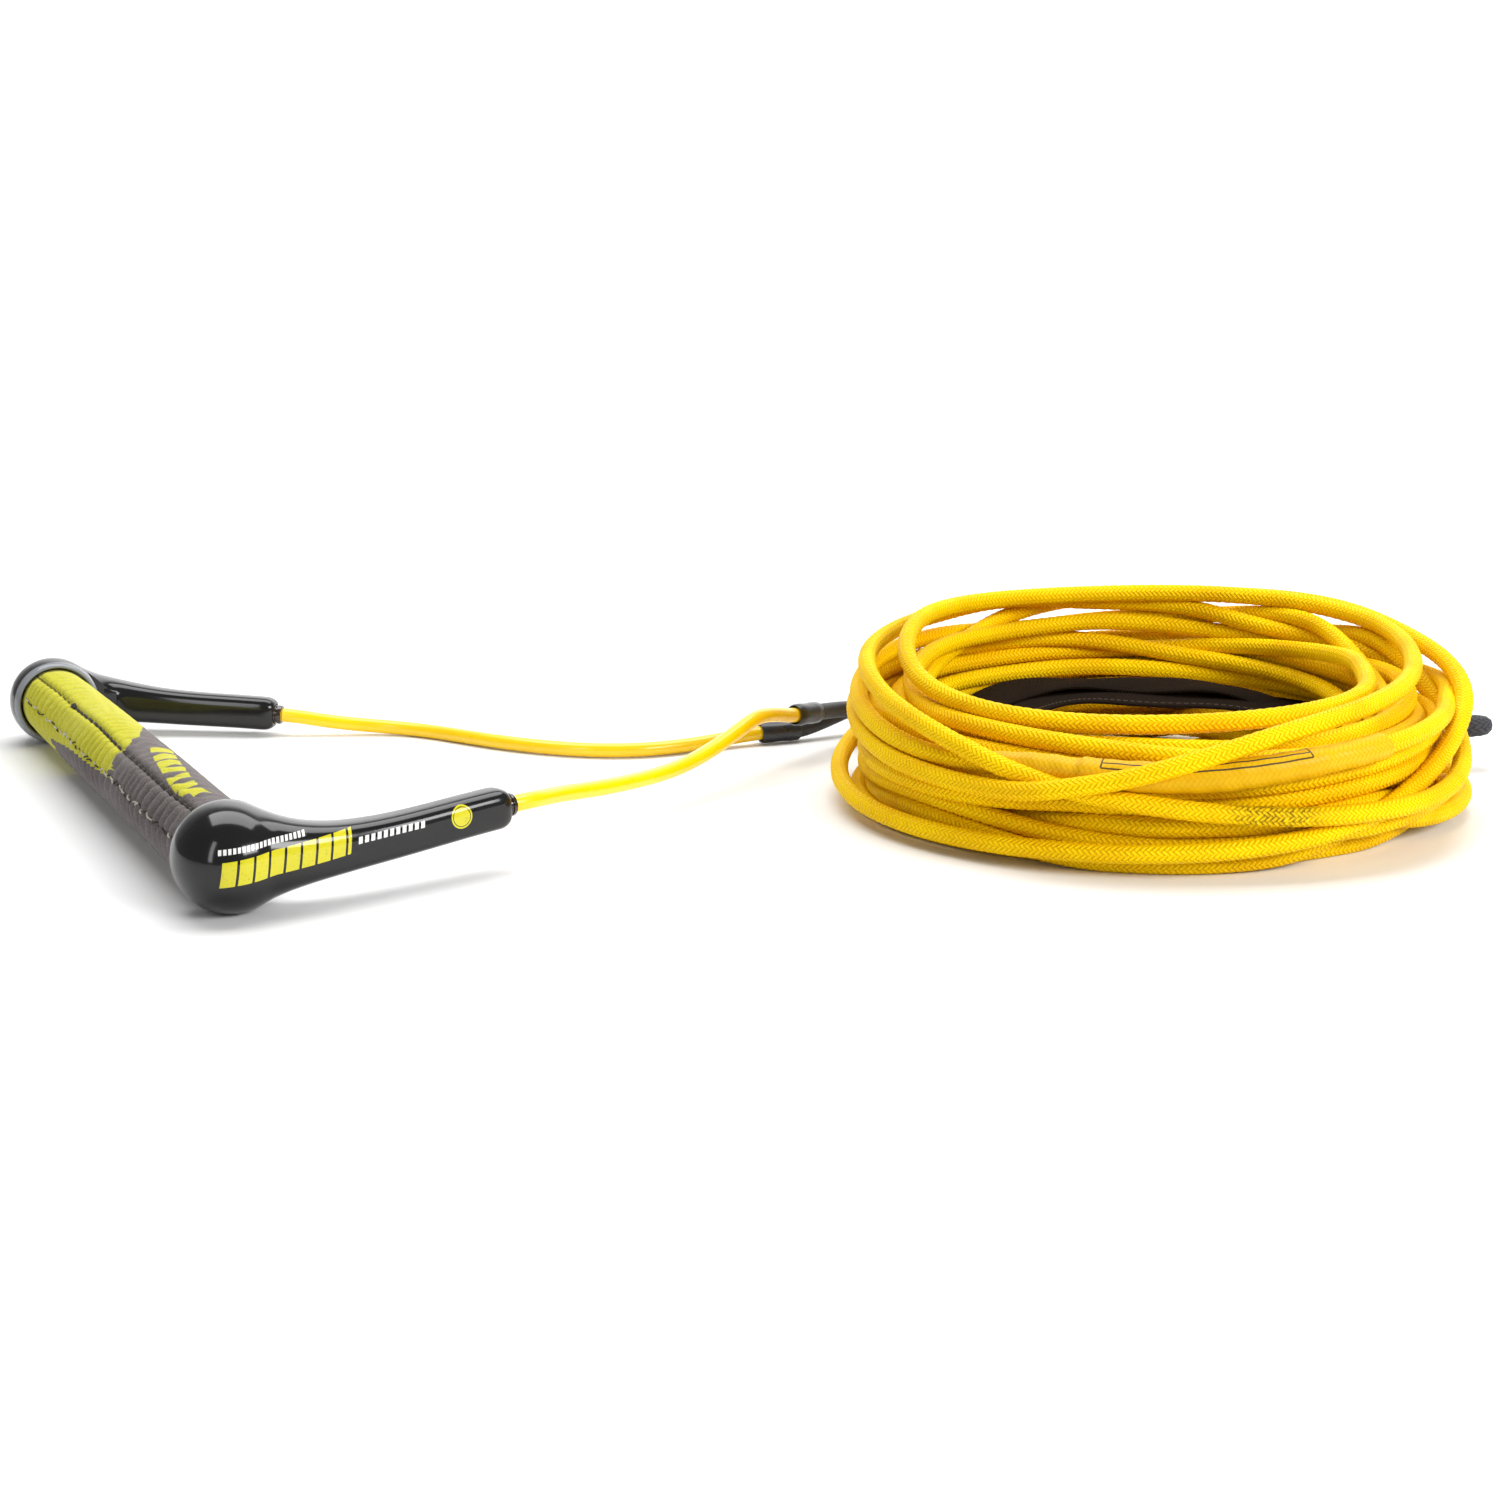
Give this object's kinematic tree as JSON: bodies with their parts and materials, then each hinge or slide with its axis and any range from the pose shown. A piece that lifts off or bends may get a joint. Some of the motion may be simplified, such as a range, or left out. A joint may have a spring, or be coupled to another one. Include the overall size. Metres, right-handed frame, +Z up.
{
  "type": "tow rope handle",
  "caption": "Water-ski style tow handle: straight padded grip between moulded end caps, rope bridle linked by loops to a coiled mainline with a boat loop and keeper strap.",
  "frame": {"origin": "on the floor, under the middle of the box of the grip bar with its two end caps; the ropes and the coil are left out of that box", "axes": "+Y along the grip bar, towards the end cap whose arm lies on the floor; +X from the bar along the cap arms towards the bridle and the coil; +Z up from the floor"},
  "size_m": [0.6236, 0.5144, 0.072],
  "materials": {
    "tube": "satin drawn tube",
    "guide": "natural nylon",
    "core": "closed-cell float foam",
    "foam": "closed-cell foam sleeve",
    "cover": "brushed microfibre, dark grey and lemon yellow, sewn with puckered seams",
    "cap": null,
    "relief": "dark brown translucent",
    "bridle": "smooth glossy yellow coating",
    "sheath": "black shrink tube",
    "rope": "yellow braided rope",
    "label_sleeve": "clear shrink sleeve over yellow rope, with a plain ruled box",
    "boat_loop": "dark grey braid",
    "strap": "black webbing with stitched edges"
  },
  "bodies": {
    "mainline": {"mainline_coil": "rope", "mainline_lead": "rope", "mainline_boat_end": "rope", "splice_sleeve": "label_sleeve", "boat_loop": "boat_loop", "rope_keeper_strap": "strap"},
    "mainline_eye": {"mainline_eye": "rope"},
    "handle": {"bar_tube": "tube", "rope_guide_left": "guide", "rope_guide_right": "guide", "float_core": "core", "grip_foam": "foam", "grip_cover": "cover", "bar_rope": "bridle", "end_cap_left": "cap", "end_cap_right": "cap", "strain_relief_left": "relief", "strain_relief_right": "relief", "bridle_leg_left": "bridle", "bridle_leg_right": "bridle", "apex_sleeve_left": "sheath", "apex_sleeve_right": "sheath", "bridle_loop": "sheath"}
  },
  "joints": [
    {"name": "eye_swing", "type": "hinge", "parent": "mainline", "child": "mainline_eye", "pos_m": [0.3713, -0.016, 0.015], "axis": [0, 0, 1], "range_deg": [-35, 8]},
    {"name": "handle_lift", "type": "hinge", "parent": "mainline_eye", "child": "handle", "pos_m": [0.327, -0.016, 0.015], "axis": [0, 1, 0], "range_deg": [0, 80]}
  ]
}
